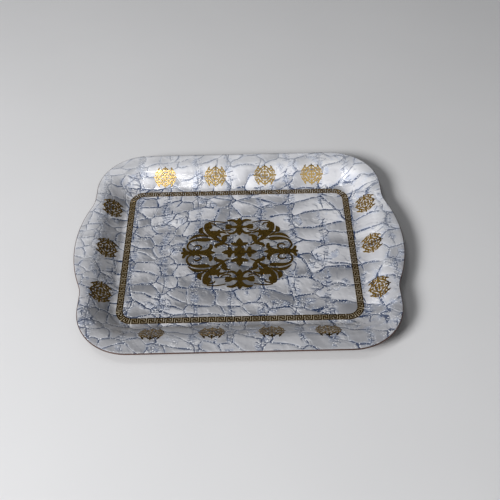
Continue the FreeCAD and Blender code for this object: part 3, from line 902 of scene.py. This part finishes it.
def pale_backdrop():
    """Plain pale glow for what sees or mirrors the backdrop, clear to all other light."""
    made, tree = blank_material("backdrop_pale")
    path = add(tree, "ShaderNodeLightPath").outputs
    seen = greatest(tree, path["Is Camera Ray"], path["Is Glossy Ray"], path["Is Transmission Ray"])
    glow = add(tree, "ShaderNodeEmission", {"Color": BACKDROP_COLOUR, "Strength": BACKDROP_GLOW}).outputs[0]
    clear = add(tree, "ShaderNodeBsdfTransparent").outputs[0]
    mixed = add(tree, "ShaderNodeMixShader", {0: seen, 1: clear, 2: glow}).outputs[0]
    add(tree, "ShaderNodeOutputMaterial", {"Surface": mixed})
    return made


# Pieces ---------------------------------------------------------------------------------------------------

pearl, gold, laminate = pearl_decor(), gold_transfer(), core_laminate()

upper_edge = [(EDGE_ROUND * (1 - math.sin(a)), -DECOR_THICKNESS - EDGE_ROUND * (1 - math.cos(a)))
              for a in EDGE_TURNS]
lower_edge = [(inward, -DECOR_THICKNESS - FACE_Z - lift) for inward, lift in upper_edge[::-1]]
shell("core_shell", -DECOR_THICKNESS, -FACE_Z, 0.0, upper_edge + lower_edge,
      ["tray_core"], laminate)
shell("decor_face", 0.0, -DECOR_THICKNESS, DECOR_INSET, DECOR_EDGE, ["decor_sheet"], pearl)
key_band(gold)
ornament = mirrored(ORNAMENT_STROKES, ORNAMENT_STEPS, FOIL_SPREAD)
relief("centre_scrolls", ornament, on_floor, "centre_ornament", gold)
filigree = mirrored(MEDALLION_STROKES, FILIGREE_STEPS, FILIGREE_SPREAD)
for side, (centre_run, places) in MEDALLION_ROWS.items():
    for number, along in enumerate(places, start=1):
        relief("filigree_%s_%d" % (side, number), filigree, on_wall(side, centre_run, along),
               "medallion_%s_%d" % (side, number), gold)

# Floor, light and camera, in metres -----------------------------------------------------------------------

FLOOR_HALF = 6.0
BACKDROP_RADIUS = 2.6
BACKDROP_HEIGHT = 0.62
BACKDROP_SIDES = 96
WORLD_COLOUR = (0.95, 0.97, 1.0, 1)
WORLD_STRENGTH = 0.075
SOFTBOXES = (              # name, place, what it aims at, size and power
    ("key_box", (-1.65, -1.45, 1.50), (0.0, 0.0, 0.0), (0.9, 0.8), 79.0),
    ("top_left_box", (-0.32, -0.42, 1.5), (0.0, 0.1, 0.0), (0.9, 0.42), 0.70),
    ("top_right_box", (0.46, -0.42, 1.5), (0.0, 0.1, 0.0), (0.66, 0.42), 0.65),
    ("over_box", (-0.05, -0.02, 1.5), (0.0, 0.1, 0.0), (1.4, 0.36), 0.8),
    ("window_box", (-0.40, -0.26, 1.5), (0.1, 0.1, 0.0), (0.26, 0.16), 1.4),
    ("rim_box", (0.0, 2.0, 1.50), (0.0, 0.15, 0.02), (1.7, 0.22), 0.8),
    ("side_box", (-1.06, 1.31, 0.88), (0.17, 0.0, 0.02), (0.8, 0.6), 0.35),
    ("spark_box", (-0.217, -0.436, 1.5), (0.0, 0.1, 0.0), (0.08, 0.016), 0.055),
)
CAMERA_AT = (0.0125, -0.5960, 0.6835)
CAMERA_AIM = (0.0131, 0.0014, 0.0025)
CAMERA_ROLL = math.radians(-1.20)
CAMERA_LENS = 52.13        # millimetres, as is the sensor's width
SENSOR_WIDTH = 36.0


def facing(place, aim):
    """Turn that points a lamp or camera from its place to what it aims at."""
    return (Vector(aim) - Vector(place)).to_track_quat("-Z", "Y")


def softbox(name, place, aim, size, power):
    """A rectangular lamp."""
    lamp = bpy.data.lights.new(name, "AREA")
    lamp.shape = "RECTANGLE"
    lamp.size, lamp.size_y = size
    lamp.energy = power
    made = bpy.data.objects.new(name, lamp)
    made.location = place
    made.rotation_mode = "QUATERNION"
    made.rotation_quaternion = facing(place, aim)
    bpy.context.scene.collection.objects.link(made)


floor_corners = [(x * FLOOR_HALF, y * FLOOR_HALF, 0) for x, y in ((-1, -1), (1, -1), (1, 1), (-1, 1))]
floor = new_object("floor", floor_corners, [(0, 1, 2, 3)], pale_floor())

turns = np.linspace(0.0, math.tau, BACKDROP_SIDES, endpoint=False)
foot = np.column_stack([np.cos(turns), np.sin(turns), np.zeros(BACKDROP_SIDES)]) * BACKDROP_RADIUS
ring = np.concatenate([foot, foot + np.array([0.0, 0.0, BACKDROP_HEIGHT])])
backdrop = new_object("backdrop", ring.tolist(), turned_over(quads(2, BACKDROP_SIDES, False, True)),
                      pale_backdrop())

world = bpy.data.worlds.new("studio")
world.use_nodes = True
world.node_tree.nodes["Background"].inputs["Color"].default_value = WORLD_COLOUR
world.node_tree.nodes["Background"].inputs["Strength"].default_value = WORLD_STRENGTH
bpy.context.scene.world = world
for box in SOFTBOXES:
    softbox(*box)

camera_data = bpy.data.cameras.new("camera")
camera_data.lens = CAMERA_LENS
camera_data.sensor_width = SENSOR_WIDTH
camera = bpy.data.objects.new("camera", camera_data)
camera.location = CAMERA_AT
camera.rotation_mode = "QUATERNION"
camera.rotation_quaternion = facing(CAMERA_AT, CAMERA_AIM) @ Quaternion((0, 0, 1), CAMERA_ROLL)
bpy.context.scene.collection.objects.link(camera)
bpy.context.scene.camera = camera
bpy.context.scene.view_settings.view_transform = "Standard"
